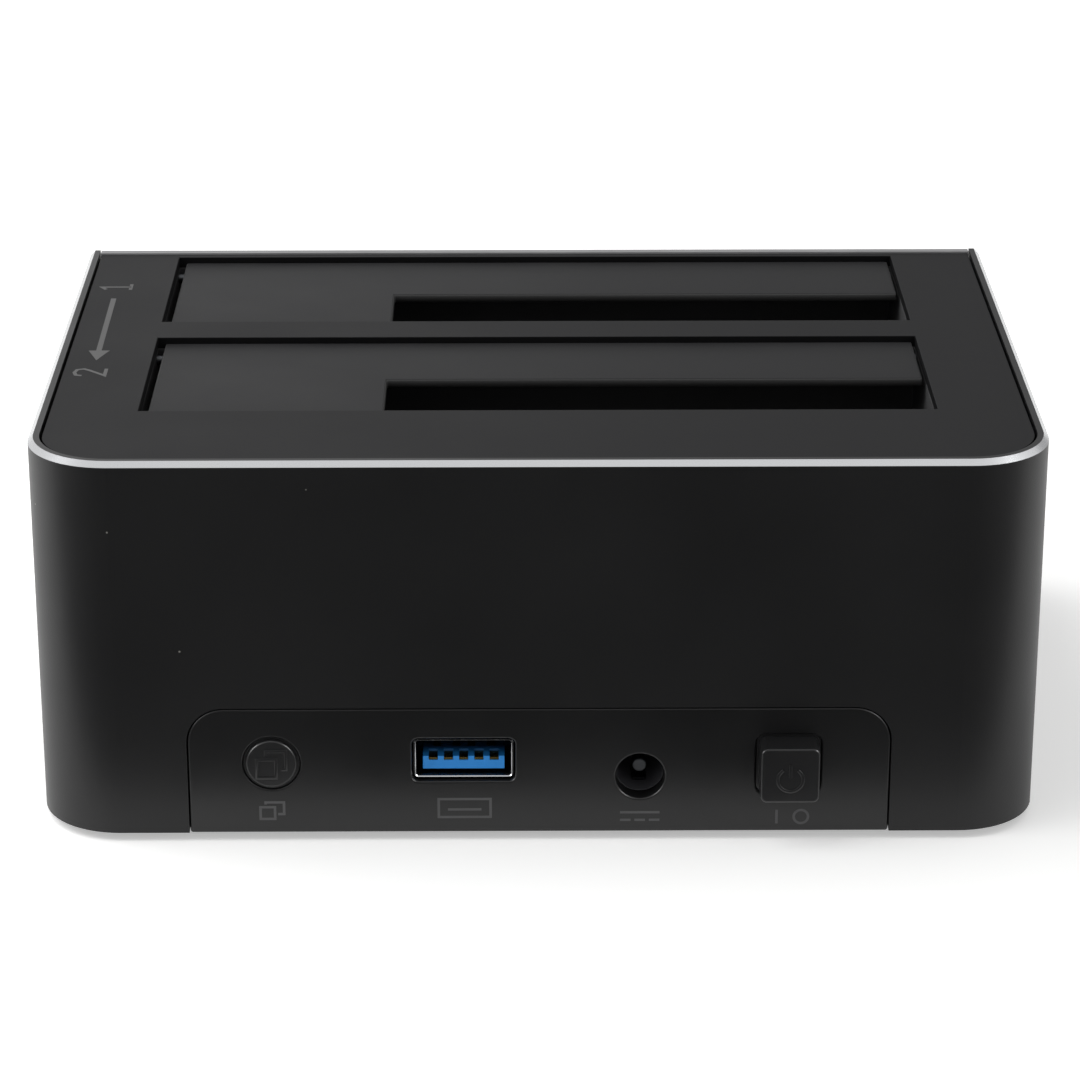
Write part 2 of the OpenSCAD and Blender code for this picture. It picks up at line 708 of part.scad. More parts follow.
module usb_contacts() color("#d4b060") {
    for (i = [-2 : 2])
        chip(usb_x + i * fast_pitch, y_usb + tongue_in + fast_in, z_tongue + tongue_t - fast_deep,
            [fast_w, fast_len, fast_deep / 2]);
    for (x = usb_pin_xs)
        block(usb_x + x - usb_pin_w / 2, usb_x + x + usb_pin_w / 2, y_usb + tongue_in + fast_in + fast_len,
            y_usb + usb_len - usb_block - usb_pin_gap, z_tongue + tongue_t, z_tongue + tongue_t + usb_pin_t);
}

module dc_jack_body() color("#151516") difference() {
    block(jack_x - jack_w / 2, jack_x + jack_w / 2, y_panel_in, y_panel_in + jack_len,
        z_jack - jack_r - jack_wall, z_board);
    rod_y(jack_x, y_panel_in - 1, y_panel_in + jack_deep, z_jack, jack_r);
    rod_y(jack_x, y_panel_in, y_panel_in + jack_len + 1, z_jack, jack_pin_r + jack_root + pilot_play);
    block(jack_x - leaf_w / 2 - slide_fit, jack_x + leaf_w / 2 + slide_fit, y_panel_in + leaf_in - slide_fit,
        y_panel_in + leaf_in + leaf_len + slide_fit, z_jack - jack_r - leaf_t, z_jack);
}

// Centre pin with a thicker root in the body's rear wall
module dc_jack_pin() color("#c8c9cc") {
    rod_y(jack_x, y_near + jack_pin_in, y_panel_in + jack_deep, z_jack, jack_pin_r);
    rod_y(jack_x, y_panel_in + jack_deep, y_panel_in + jack_len, z_jack, jack_pin_r + jack_root);
}

module dc_jack_spring() color("#c0a060")
    block(jack_x - leaf_w / 2, jack_x + leaf_w / 2, y_panel_in + leaf_in, y_panel_in + leaf_in + leaf_len,
        z_jack - jack_r - leaf_t, z_jack - jack_r + leaf_t / 2);

module power_switch_body() color("#202022") difference() {
    block(power_x - switch_w / 2, power_x + switch_w / 2, y_switch, y_switch + switch_len,
        z_power - switch_w / 2, z_board);
    block(power_x - stem_w / 2 - slide_fit, power_x + stem_w / 2 + slide_fit, y_switch - 1,
        y_switch + stem_in + power_travel + stem_end, z_power - stem_w / 2 - slide_fit,
        z_power + stem_w / 2 + slide_fit);
}

module power_switch_plunger() color("#e8e6e0")
    block(power_x - stem_w / 2, power_x + stem_w / 2, y_panel_in, y_switch + stem_in,
        z_power - stem_w / 2, z_power + stem_w / 2);

// Square cap with side wings behind the panel and a socket for the switch's plunger
module power_button() color("#303032") difference() {
    union() {
        upright(y_near - power_out, y_panel_in + stop_gap + wing_t) translate([power_x, z_power])
            rounded_rect(power_w, power_w, power_r);
        block(power_x - power_w / 2 - wing_w, power_x + power_w / 2 + wing_w, y_panel_in + stop_gap,
            y_panel_in + stop_gap + wing_t, z_power - power_w / 2 + power_r, z_power + power_w / 2 - power_r);
        upright(y_panel_in, y_panel_in + collar_len) translate([power_x, z_power])
            square(stem_w + 2 * collar_wall, center = true);
    }
    block(power_x - stem_w / 2 - pilot_play, power_x + stem_w / 2 + pilot_play, y_panel_in,
        y_panel_in + collar_len + 1, z_power - stem_w / 2 - pilot_play, z_power + stem_w / 2 + pilot_play);
}

module clone_switch_body() color("#202022") difference() {
    block(clone_x - tact_w / 2, clone_x + tact_w / 2, y_tact, y_tact + tact_t, z_clone - tact_w / 2, z_board);
    rod_y(clone_x, y_tact - 1, y_tact + tact_in + clone_travel + slide_fit, z_clone, tact_r + slide_fit);
}

module clone_switch_plunger() color("#e8e6e0")
    rod_y(clone_x, y_panel_in + clone_stem, y_tact + tact_in, z_clone, tact_r);

// Round cap with side wings behind the panel and a stem that meets the switch
module clone_button() color("#303032") union() {
    rod_y(clone_x, y_near - clone_out, y_panel_in + stop_gap + wing_t, z_clone, clone_r);
    block(clone_x - clone_r - wing_w, clone_x + clone_r + wing_w, y_panel_in + stop_gap,
        y_panel_in + stop_gap + wing_t, z_clone - wing_h / 2, z_clone + wing_h / 2);
    rod_y(clone_x, y_panel_in, y_panel_in + clone_stem, z_clone, tact_r - slide_fit);
}

module bridge_chip() color("#1a1a1c") chip(0, chip_y + bridge_back, z_board_top, bridge_size);

module flash_chip() color("#1a1a1c") chip(flash_x, chip_y, z_board_top, flash_size);

module regulator_chips() color("#1a1a1c")
    for (s = [-1, 1])
        chip(regulator_x, chip_y + s * (regulator_size[1] + regulator_gap) / 2, z_board_top, regulator_size);

module power_inductors() color("#4a4a4c")
    for (x = inductor_xs) chip(x, chip_y, z_board_top, inductor_size);

module electrolytic_capacitors() color("#a8aab0")
    for (x = capacitor_xs) rod_z(x, chip_y, z_board_top, z_board_top + capacitor_h, capacitor_r);

module clock_crystal() color("#c8c9cc") chip(0, board_y0 + crystal_in, z_board_top, crystal_size);

module status_leds() color("#f4f2d8")
    for (x = led_xs) chip(x, board_y1 - led_in, z_board_top, led_size);

// Clear bar behind the front panel with one round tip for each light
module light_pipe() color("#dfe6ea") {
    block(led_xs[0] - 2 * pipe_r, led_xs[led_count - 1] + 2 * pipe_r, board_y1 + slide_fit, y_front_in,
        z_board_top - board_t / 2, pipe_z + pipe_r);
    for (x = led_xs) rod_y(x, y_front_in - pipe_root, y_far, pipe_z, pipe_r);
}

housing_sleeve();
front_panel();
top_plate();
bay_well_a();
bay_well_b();
flap_a();
flap_b();
hinge_pin_a();
hinge_pin_b();
flap_spring_a();
flap_spring_b();
base_tray();
rear_panel();
rubber_feet();
sleeve_screws();
post_screws();
well_screws();
board_screws();
panel_screws();
main_board();
sata_housing_a();
sata_housing_b();
sata_contacts_a();
sata_contacts_b();
usb_shell();
usb_tongue();
usb_contacts();
dc_jack_body();
dc_jack_pin();
dc_jack_spring();
power_switch_body();
power_switch_plunger();
power_button();
clone_switch_body();
clone_switch_plunger();
clone_button();
bridge_chip();
flash_chip();
regulator_chips();
power_inductors();
electrolytic_capacitors();
clock_crystal();
status_leds();
light_pipe();
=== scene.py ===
"""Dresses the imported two-bay drive dock with finishes, printed marks, moulded symbols, flap covers and
springs, and sets its stage."""

import math

import bmesh
import bpy
from bpy.props import FloatProperty, FloatVectorProperty, PointerProperty
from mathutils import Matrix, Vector


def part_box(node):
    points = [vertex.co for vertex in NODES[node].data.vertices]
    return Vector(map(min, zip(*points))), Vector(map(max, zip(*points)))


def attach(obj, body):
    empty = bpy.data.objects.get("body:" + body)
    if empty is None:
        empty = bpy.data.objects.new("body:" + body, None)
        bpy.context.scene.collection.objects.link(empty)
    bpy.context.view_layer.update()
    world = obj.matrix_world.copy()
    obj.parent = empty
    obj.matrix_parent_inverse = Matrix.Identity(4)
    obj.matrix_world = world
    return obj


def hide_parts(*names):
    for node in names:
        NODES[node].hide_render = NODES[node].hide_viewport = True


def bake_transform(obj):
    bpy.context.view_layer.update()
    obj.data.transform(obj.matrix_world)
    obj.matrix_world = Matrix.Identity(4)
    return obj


bl_info = {
    "name": "Two-Bay Drive Dock",
    "version": (1, 0, 0),
    "blender": (4, 5, 0),
    "location": "View3D > Sidebar > Drive Dock",
    "description": "Gives the packed drive dock its finishes, marks and studio stage",
    "category": "Object",
}

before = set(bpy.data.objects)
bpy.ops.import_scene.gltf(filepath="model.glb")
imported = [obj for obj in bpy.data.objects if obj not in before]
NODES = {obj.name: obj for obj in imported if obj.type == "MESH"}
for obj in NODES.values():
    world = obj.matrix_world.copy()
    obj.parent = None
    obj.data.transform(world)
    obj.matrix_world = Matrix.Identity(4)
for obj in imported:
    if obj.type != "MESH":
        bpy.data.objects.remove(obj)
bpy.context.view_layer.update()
MM = 0.001
TOP_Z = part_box("housing_sleeve")[1].z
PLATE_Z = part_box("top_plate")[1].z
NEAR_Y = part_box("rear_panel")[0].y
# Packed corners nearer than WELD are one, as are new ones nearer than MERGE; faces within FLAT of each other
# make one flat, and an edge that turns by more than SHARP is a sharp one
WELD = 0.002 * MM
MERGE = 0.001 * MM
FLAT = math.radians(0.5)
SHARP = math.radians(40)
# Most values of a noise texture lie in this range
NOISE = {"From Min": 0.3, "From Max": 0.7}


def linear(code):
    """An sRGB hex colour as linear red, green, blue and alpha."""
    shares = [int(code[i:i + 2], 16) / 255 for i in (1, 3, 5)]
    return [s / 12.92 if s <= 0.04045 else ((s + 0.055) / 1.055) ** 2.4 for s in shares] + [1.0]


def colour(label, words, code):
    """A colour property with an sRGB default."""
    return FloatVectorProperty(name=label, description=words, subtype="COLOR", size=4, min=0, max=1,
                               default=linear(code))


def length(label, words, mm):
    """A length property with a default in millimetres."""
    return FloatProperty(name=label, description=words, subtype="DISTANCE", unit="LENGTH", min=0,
                         default=mm * MM)


class DockSizes(bpy.types.PropertyGroup):
    """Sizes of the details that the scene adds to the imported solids."""

    plate_edge: length("Plate edge", "Rounding of the top plate's edges", 0.1)
    panel_edge: length("Panel edge", "Rounding of the rear panel's edges", 0.3)
    flap_edge: length("Flap edge", "Rounding of the flaps' upper edges", 0.25)
    lip_cut: length("Lip cut", "Height of the cut under the flaps' lips", 0.75)
    lip_slope: length("Lip slope", "Depth of the cut under the flaps' lips", 2.5)
    hinge_zone: length("Hinge zone", "Depth of the hinge end, which isn't rounded", 4.5)
    cap_edge: length("Cap edge", "Rounding of the two button caps", 0.35)
    metal_edge: length("Metal edge", "Rounding of sheared and turned metal edges", 0.06)
    small_edge: length("Small edge", "Rounding of chips, sockets and other small pieces", 0.12)
    finger_wide: length("Finger width", "Width of the USB socket's spring fingers", 1.6)
    finger_apart: length("Finger spacing", "Distance between the two spring fingers", 5.2)
    finger_thick: length("Finger thickness", "Thickness of the spring fingers", 0.2)
    shell_wall: length("Shell wall", "Thickness of the USB socket's steel shell", 0.3)
    shell_round: length("Shell corner", "Outer radius of the shell's corners", 0.7)
    shell_flare: length("Shell flare", "How far the shell's rolled mouth stands forward", 0.16)
    cap_gap: length("Cap gap", "Clear width round a button cap", 0.4)
    cap_round: length("Cap corner", "Corner radius of the square cap", 0.9)
    skirt_in: length("Skirt depth", "How far the caps' skirts lie behind the panel's face", 0.35)
    skirt_end: length("Skirt end", "How far behind the panel's face the caps' skirts end", 1.4)
    coil_wire: length("Coil wire", "Thickness of the flap springs' wire", 0.4)
    foot_edge: length("Foot edge", "Rounding of the rubber feet", 0.35)
    print_lift: length("Print height", "Thickness of the printed ink", 0.02)
    print_line: length("Print line", "Width of the lines of the printed marks", 0.34)
    number_line: length("Number line", "Width of the lines of the bay numbers", 0.5)
    arrow_line: length("Arrow line", "Width of the top arrow's shaft", 0.75)
    relief_line: length("Relief line", "Width of the moulded lines on the caps", 0.42)
    relief_lift: length("Relief height", "Height of the moulded lines on the caps", 0.14)


class DockColours(bpy.types.PropertyGroup):
    """Colours of the finishes and of the stage."""

    sleeve: colour("Sleeve", "Black dye of the anodised sleeve", "#171718")
    bright_cut: colour("Bright cut", "Bare aluminium of the cut rim", "#c6c7c9")
    dust: colour("Dust", "Specks of dust on the sleeve", "#a5a29c")
    plate: colour("Top plate", "Black ABS of the top plate", "#202021")
    flap: colour("Flaps", "Black ABS of the flaps", "#262627")
    panel: colour("Panels", "Black ABS of the rear and front panels", "#121213")
    # Painted shade: the walls of the top plate's openings are coloured darker than its top
    plate_wall_shade: colour("Plate walls", "Plain resin on the walls of the openings", "#0f0f10")
    # Painted light: the flaps' lips and other faces that don't look up are coloured lighter than their tops
    flap_lip_light: colour("Flap walls", "Plain resin on the flaps' lips", "#505050")
    # Painted highlight: a pale grey along the front panel's upper edge
    painted_edge_highlight: colour("Silver edge", "Silver paint on the front panel's upper edge", "#8f8f90")
    # Painted light: a grey lighter than the black plastic, lifting the deep shade in the wells and the base
    well: colour("Wells", "Black ABS of the wells and the base", "#3d3d3e")
    cap: colour("Caps", "Black POM of the buttons", "#1f1f20")
    rubber: colour("Rubber", "Black rubber of the feet", "#121212")
    ink_top: colour("Top ink", "Grey ink on the top plate", "#525252")
    ink_rear: colour("Rear ink", "Grey ink on the rear panel", "#565657")
    steel: colour("Steel", "Nickel plated steel", "#c9cacc")
    spring_steel: colour("Spring steel", "Drawn steel of the pins and springs", "#5c5e61")
    gold: colour("Gold", "Gold flash of the contacts", "#a88c50")
    usb_blue: colour("Socket blue", "Blue PBT of the USB tongue", "#2a94ea")
    connector: colour("Connectors", "Black nylon of the sockets and switches", "#2b2b2d")
    inlet: colour("Inlet", "Dark grey nylon of the power inlet", "#56565a")
    plunger: colour("Plungers", "Ivory POM of the switch plungers", "#e4e0d4")
    laminate: colour("Board", "Green mask of the circuit board", "#1c4a30")
    epoxy: colour("Chips", "Black epoxy of the chips", "#1b1b1d")
    ferrite: colour("Ferrite", "Grey ferrite of the inductors", "#4b4b4d")
    can: colour("Cans", "Bare aluminium of the capacitor cans", "#c6c8ca")
    resin: colour("Lights", "Pale resin of the status lights", "#dfe3d8")
    pipe: colour("Light pipe", "Clear acrylic of the light pipe", "#e9edf0")
    floor: colour("Floor", "White paper of the floor", "#f1f1f0")
    front_card: colour("Front card", "Dark card in front of the dock, seen in reflections", "#494949")
    back_card: colour("Back card", "Pale card behind the dock, seen in reflections", "#bebebe")


def add(tree, kind, inputs=None, **settings):
    """Adds a node with its settings; an input that is a socket is linked, any other is a value."""
    node = tree.nodes.new(kind)
    for key, value in settings.items():
        setattr(node, key, value)
    for key, value in (inputs or {}).items():
        if isinstance(value, bpy.types.NodeSocket):
            tree.links.new(value, node.inputs[key])
        else:
            node.inputs[key].default_value = value
    return node


def per_mm(size):
    """Texture scale whose cells measure that many millimetres in object coordinates."""
    return 1 / (size * MM)


def blank(name):
    """A new node material with nothing in it yet; gives the material and its tree."""
    material = bpy.data.materials.new(name)
    material.use_nodes = True
    material.node_tree.nodes.clear()
    return material, material.node_tree


def painted_inner_shade(tree, place, mouth, base):
    """Painted shade inside a socket: a colour that fades to a tenth from its mouth inwards, along y."""
    inward = add(tree, "ShaderNodeSeparateXYZ", {0: place}).outputs["Y"]
    share = add(tree, "ShaderNodeMapRange", {"Value": inward, "From Min": mouth[0], "From Max": mouth[1],
                                             "To Min": 1.0, "To Max": 0.1})
    faded = add(tree, "ShaderNodeVectorMath", {0: base, "Scale": share.outputs[0]}, operation="SCALE")
    return faded.outputs[0]


def moulded(name, tint, roughness, grain, depth, specular=0.35, wall=None, mouth=None, above=None):
    """Injection moulded plastic from a textured tool: a dull sheen broken by fine even grain, and a faint
    cloudiness where the melt flowed. The grain's size and depth are in millimetres. Where a wall colour is
    given, only the upper side has the tint, or else what lies above a height, and the rest has the wall's
    colour: painted light and shade set by which way a face looks or by height. Where a mouth is given,
    painted shade darkens the colour from a socket's mouth inwards."""
    material, tree = blank(name)
    coords = add(tree, "ShaderNodeTexCoord").outputs
    place = coords["Object"]
    cells = add(tree, "ShaderNodeTexNoise", {"Vector": place, "Scale": per_mm(grain), "Detail": 2.0})
    # Flow clouds are about 14 mm across
    flow = add(tree, "ShaderNodeTexNoise", {"Vector": place, "Scale": per_mm(14), "Detail": 3.0})
    clouds = flow.outputs["Fac"]
    tone = add(tree, "ShaderNodeMapRange", {"Value": clouds, **NOISE, "To Min": 0.9, "To Max": 1.1})
    base = add(tree, "ShaderNodeVectorMath", {0: tint[:3], "Scale": tone.outputs[0]}, operation="SCALE")
    skin = base.outputs[0]
    if mouth:
        skin = painted_inner_shade(tree, place, mouth, skin)
    if wall:
        # The painted change from the wall's colour to the tint comes in over 0.1 mm of height, or as the
        # normal's upward part grows from 0.5 to 0.9
        first, last = (above, above + 0.1 * MM) if above else (0.5, 0.9)
        up = add(tree, "ShaderNodeSeparateXYZ", {0: place if above else coords["Normal"]}).outputs["Z"]
        upper = add(tree, "ShaderNodeMapRange", {"Value": up, "From Min": first, "From Max": last})
        both = add(tree, "ShaderNodeMix", {0: upper.outputs[0], 6: wall, 7: skin}, data_type="RGBA")
        skin = both.outputs[2]
    dull = add(tree, "ShaderNodeMapRange", {"Value": clouds, **NOISE, "To Min": roughness - 0.03,
                                            "To Max": roughness + 0.03})
    bump = add(tree, "ShaderNodeBump", {"Height": cells.outputs["Fac"], "Strength": 0.35,
                                        "Distance": depth * MM})
    shader = add(tree, "ShaderNodeBsdfPrincipled", {"Base Color": skin, "Roughness": dull.outputs[0],
                                                    "Normal": bump.outputs[0],
                                                    "Specular IOR Level": specular})
    add(tree, "ShaderNodeOutputMaterial", {"Surface": shader.outputs[0]})
    return material


def plated(name, tint, roughness, grain, depth, stretch=(1, 1, 1), mouth=None):
    """Bare or plated metal: a clear reflection softened by drawing or rolling marks, which run along the axis
    that is stretched. The marks' width and depth are in millimetres. Where a mouth is given, painted shade
    darkens the colour from a socket's mouth inwards."""
    material, tree = blank(name)
    place = add(tree, "ShaderNodeTexCoord").outputs["Object"]
    drawn = add(tree, "ShaderNodeMapping", {"Vector": place, "Scale": stretch}).outputs[0]
    lines = add(tree, "ShaderNodeTexNoise", {"Vector": drawn, "Scale": per_mm(grain), "Detail": 3.0})
    marks = lines.outputs["Fac"]
    tone = add(tree, "ShaderNodeMapRange", {"Value": marks, "To Min": 0.88, "To Max": 1.0})
    base = add(tree, "ShaderNodeVectorMath", {0: tint[:3], "Scale": tone.outputs[0]}, operation="SCALE")
    skin = painted_inner_shade(tree, place, mouth, base.outputs[0]) if mouth else base.outputs[0]
    dull = add(tree, "ShaderNodeMapRange", {"Value": marks, "To Min": roughness - 0.06,
                                            "To Max": roughness + 0.06})
    bump = add(tree, "ShaderNodeBump", {"Height": marks, "Strength": 0.25, "Distance": depth * MM})
    shader = add(tree, "ShaderNodeBsdfPrincipled", {"Base Color": skin, "Metallic": 1.0,
                                                    "Roughness": dull.outputs[0], "Normal": bump.outputs[0]})
    add(tree, "ShaderNodeOutputMaterial", {"Surface": shader.outputs[0]})
    return material


def cut_rim(name, black, bright, dust, low):
    """Extruded aluminium, bead blasted and dyed black when anodised, then cut bare along its rim: a dark
    satin wall with faint handling smudges and specks of dust, under a bright line. The rim is where the
    surface leans and stands above the height low."""
    material, tree = blank(name)
    place = add(tree, "ShaderNodeTexCoord").outputs["Object"]
    height = add(tree, "ShaderNodeSeparateXYZ", {0: place}).outputs["Z"]
    facing = add(tree, "ShaderNodeNewGeometry").outputs["True Normal"]
    lean = add(tree, "ShaderNodeSeparateXYZ", {0: facing}).outputs["Z"]
    # The cut leans by about 45 degrees
    tilted = add(tree, "ShaderNodeMath", {0: lean, 1: 0.7071, 2: 0.25}, operation="COMPARE")
    above = add(tree, "ShaderNodeMath", {0: height, 1: low}, operation="GREATER_THAN")
    rim = add(tree, "ShaderNodeMath", {0: tilted.outputs[0], 1: above.outputs[0]},
              operation="MULTIPLY").outputs[0]
    # Specks are about 0.3 mm wide, in cells of 9 mm
    cells = add(tree, "ShaderNodeTexVoronoi", {"Vector": place, "Scale": per_mm(9)})
    speck = add(tree, "ShaderNodeMapRange", {"Value": cells.outputs["Distance"], "From Min": 0.018,
                                             "From Max": 0.011, "To Max": 0.5})
    dusty = add(tree, "ShaderNodeMix", {0: speck.outputs[0], 6: black, 7: dust}, data_type="RGBA")
    base = add(tree, "ShaderNodeMix", {0: rim, 6: dusty.outputs[2], 7: bright}, data_type="RGBA")
    # Smudges are about 26 mm across
    smudge = add(tree, "ShaderNodeTexNoise", {"Vector": place, "Scale": per_mm(26), "Detail": 3.0})
    satin = add(tree, "ShaderNodeMapRange", {"Value": smudge.outputs["Fac"], **NOISE, "To Min": 0.40,
                                             "To Max": 0.48})
    dull = add(tree, "ShaderNodeMix", {0: rim, 2: satin.outputs[0], 3: 0.26})
    # Blasting pits are about 0.05 mm wide; they are drawn at 0.3 mm so that they show
    pits = add(tree, "ShaderNodeTexNoise", {"Vector": place, "Scale": per_mm(0.3), "Detail": 2.0})
    bump = add(tree, "ShaderNodeBump", {"Height": pits.outputs["Fac"], "Strength": 0.3,
                                        "Distance": 0.03 * MM})
    shader = add(tree, "ShaderNodeBsdfPrincipled", {"Base Color": base.outputs[2], "Metallic": rim,
                                                    "Roughness": dull.outputs[0], "Normal": bump.outputs[0],
                                                    "Specular IOR Level": 0.38})
    add(tree, "ShaderNodeOutputMaterial", {"Surface": shader.outputs[0]})
    return material


def laminate(name, tint):
    """Glass epoxy board under green solder mask: a glossy film over tracks that show as paler lines."""
    material, tree = blank(name)
    place = add(tree, "ShaderNodeTexCoord").outputs["Object"]
    darker, paler = ([part * share for part in tint[:3]] + [1] for share in (0.8, 1.8))
    # Real tracks lie about 0.5 mm apart; they are drawn 2.5 mm apart so that they show
    lines = add(tree, "ShaderNodeTexBrick", {"Vector": place, "Scale": per_mm(10), "Mortar Size": 0.02,
                                             "Color1": tint, "Color2": darker, "Mortar": paler})
    bump = add(tree, "ShaderNodeBump", {"Height": lines.outputs["Fac"], "Strength": 0.4,
                                        "Distance": 0.035 * MM})
    shader = add(tree, "ShaderNodeBsdfPrincipled", {"Base Color": lines.outputs["Color"], "Roughness": 0.25,
                                                    "Normal": bump.outputs[0]})
    add(tree, "ShaderNodeOutputMaterial", {"Surface": shader.outputs[0]})
    return material


def clear(name, tint):
    """Polished clear acrylic: sharp highlights, and light that passes with a faint cool tint."""
    material, tree = blank(name)
    place = add(tree, "ShaderNodeTexCoord").outputs["Object"]
    # Polishing waves are about 1.5 mm wide
    waves = add(tree, "ShaderNodeTexNoise", {"Vector": place, "Scale": per_mm(1.5)})
    dull = add(tree, "ShaderNodeMapRange", {"Value": waves.outputs["Fac"], "To Min": 0.05, "To Max": 0.15})
    shader = add(tree, "ShaderNodeBsdfPrincipled", {"Base Color": tint, "Roughness": dull.outputs[0],
                                                    "IOR": 1.49, "Transmission Weight": 0.85})
    add(tree, "ShaderNodeOutputMaterial", {"Surface": shader.outputs[0]})
    return material


def finishes():
    """Every finish, by the record's slot or by a name of its own where one slot has several."""
    tint = bpy.context.scene.dock_colours
    rim_low, edge_highlight_low = TOP_Z - 0.8 * MM, TOP_Z - 0.5 * MM
    # Painted shade darkens the USB shell from 0.1 to 0.8 mm behind its mouth, and the tongue and its inner
    # contacts from 0.9 to 3.2 mm behind the tongue's front
    shell = [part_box("usb_shell")[0].y + reach * MM for reach in (0.1, 0.8)]
    tongue = [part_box("usb_tongue")[0].y + reach * MM for reach in (0.9, 3.2)]
    along_x, less_x, along_z = (0.1, 1, 1), (0.2, 1, 1), (1, 1, 0.1)
    # Grain of the moulding tool and marks on metal are about 0.05 mm; 0.12 to 0.4 mm lets them show
    return {
        "anodised_sleeve": cut_rim("aluminium_black_anodised_cut_rim", tint.sleeve, tint.bright_cut,
                                   tint.dust, rim_low),
        # The top plate's opening walls are coloured darker as painted shade
        "deck_plastic": moulded("abs_moulded_fine_matt", tint.plate, roughness=0.55, grain=0.3, depth=0.02,
                                specular=0.08, wall=tint.plate_wall_shade),
        # The flaps' lips and undersides are coloured lighter as painted light
        "flap_plastic": moulded("abs_moulded_fine_satin", tint.flap, roughness=0.52, grain=0.3, depth=0.02,
                                specular=0.08, wall=tint.flap_lip_light),
        "panel_plastic": moulded("abs_moulded_satin", tint.panel, roughness=0.36, grain=0.25, depth=0.015,
                                 specular=0.5),
        # The front panel gets a painted highlight above a height along its upper edge, and keeps the panel's
        # black below it
        "panel_edge": moulded("abs_moulded_silver_edge", tint.painted_edge_highlight, roughness=0.55, grain=0.25,
                              depth=0.015, specular=0.08, wall=tint.panel, above=edge_highlight_low),
        # The wells' and the base's colour is lifted as painted light
        "well_plastic": moulded("abs_moulded_plain", tint.well, roughness=0.55, grain=0.4, depth=0.02),
        "button_plastic": moulded("pom_moulded_satin", tint.cap, roughness=0.32, grain=0.25, depth=0.012,
                                  specular=0.5),
        "foot_rubber": moulded("rubber_moulded_matt", tint.rubber, roughness=0.8, grain=0.4, depth=0.04,
                               specular=0.25),
        "connector_plastic": moulded("nylon_moulded_glass_filled", tint.connector, roughness=0.45, grain=0.2,
                                     depth=0.01),
        "inlet_nylon": moulded("nylon_moulded_grey", tint.inlet, roughness=0.5, grain=0.2, depth=0.01),
        # The tongue darkens inwards with painted shade
        "usb_blue": moulded("pbt_moulded_blue_painted_inner_shade", tint.usb_blue, roughness=0.38, grain=0.2, depth=0.008,
                            specular=0.45, mouth=tongue),
        "plunger_plastic": moulded("pom_moulded_ivory", tint.plunger, roughness=0.4, grain=0.2, depth=0.008),
        "chip_epoxy": moulded("epoxy_transfer_moulded", tint.epoxy, roughness=0.6, grain=0.15, depth=0.01),
        "ferrite": moulded("ferrite_pressed", tint.ferrite, roughness=0.7, grain=0.2, depth=0.02),
        "led_resin": moulded("silicone_cast_pale", tint.resin, roughness=0.3, grain=0.2, depth=0.005,
                             specular=0.5),
        "pin_steel": plated("steel_drawn", tint.spring_steel, roughness=0.42, grain=0.15, depth=0.01,
                            stretch=along_x),
        "screw_steel": plated("steel_cold_headed_nickel", tint.steel, roughness=0.35, grain=0.2, depth=0.01),
        "socket_steel": plated("steel_stamped_nickel", tint.steel, roughness=0.24, grain=0.12, depth=0.006,
                               stretch=less_x),
        # The shell and the inner contacts darken inwards with painted shade
        "socket_shell": plated("steel_stamped_nickel_painted_inner_shade", tint.steel, roughness=0.28, grain=0.12,
                               depth=0.006, stretch=less_x, mouth=shell),
        "contact_inner": plated("bronze_stamped_gold_flash_painted_inner_shade", tint.gold, roughness=0.28, grain=0.12,
                                depth=0.005, mouth=tongue),
        "contact_gold": plated("bronze_stamped_gold_flash", tint.gold, roughness=0.28, grain=0.12,
                               depth=0.005),
        "can_aluminium": plated("aluminium_drawn_can", tint.can, roughness=0.3, grain=0.2, depth=0.008,
                                stretch=along_z),
        "board_laminate": laminate("fr4_green_mask", tint.laminate),
        "pipe_clear": clear("acrylic_polished_clear", tint.pipe),
        "ink_top": moulded("ink_pad_printed_grey", tint.ink_top, roughness=0.6, grain=0.25, depth=0.006),
        "ink_rear": moulded("ink_pad_printed_dim", tint.ink_rear, roughness=0.55, grain=0.25, depth=0.006),
    }


def dress(node, finish, edge=0.0, steps=2):
    """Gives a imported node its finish, and rounds its sharp edges with modifiers."""
    obj = NODES[node]
    obj.data.materials.clear()
    obj.data.materials.append(FINISH[finish])
    if edge:
        obj.modifiers.new("weld", "WELD").merge_threshold = WELD
        flat = obj.modifiers.new("flat", "DECIMATE")
        flat.decimate_type = "DISSOLVE"
        flat.angle_limit = FLAT
        bevel = obj.modifiers.new("edge", "BEVEL")
        bevel.width = edge
        bevel.segments = steps
        bevel.limit_method = "ANGLE"
        bevel.angle_limit = SHARP
        bevel.use_clamp_overlap = False
        bevel.loop_slide = False
        even_normals(obj)


def even_normals(obj):
    """Lets the large faces set the normals, so that flat sides stay flat up to their rounded edges."""
    obj.modifiers.new("normals", "WEIGHTED_NORMAL").weight = 90


def piece(name, bm, body, slot, finish=None):
    """A new piece from a bmesh, smooth but for its sharp edges, riding on its body where one is named. Its
    finish is the slot's, or one with a name of its own."""
    bmesh.ops.remove_doubles(bm, verts=bm.verts, dist=MERGE)
    bmesh.ops.recalc_face_normals(bm, faces=bm.faces)
    for face in bm.faces:
        face.smooth = True
    for edge in bm.edges:
        edge.smooth = len(edge.link_faces) == 2 and edge.calc_face_angle(0) < SHARP
    mesh = bpy.data.meshes.new(name)
    bm.to_mesh(mesh)
    bm.free()
    mesh.materials.append(FINISH[finish or slot])
    obj = bpy.data.objects.new(name, mesh)
    bpy.context.scene.collection.objects.link(obj)
    if body:
        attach(obj, body)
    return obj


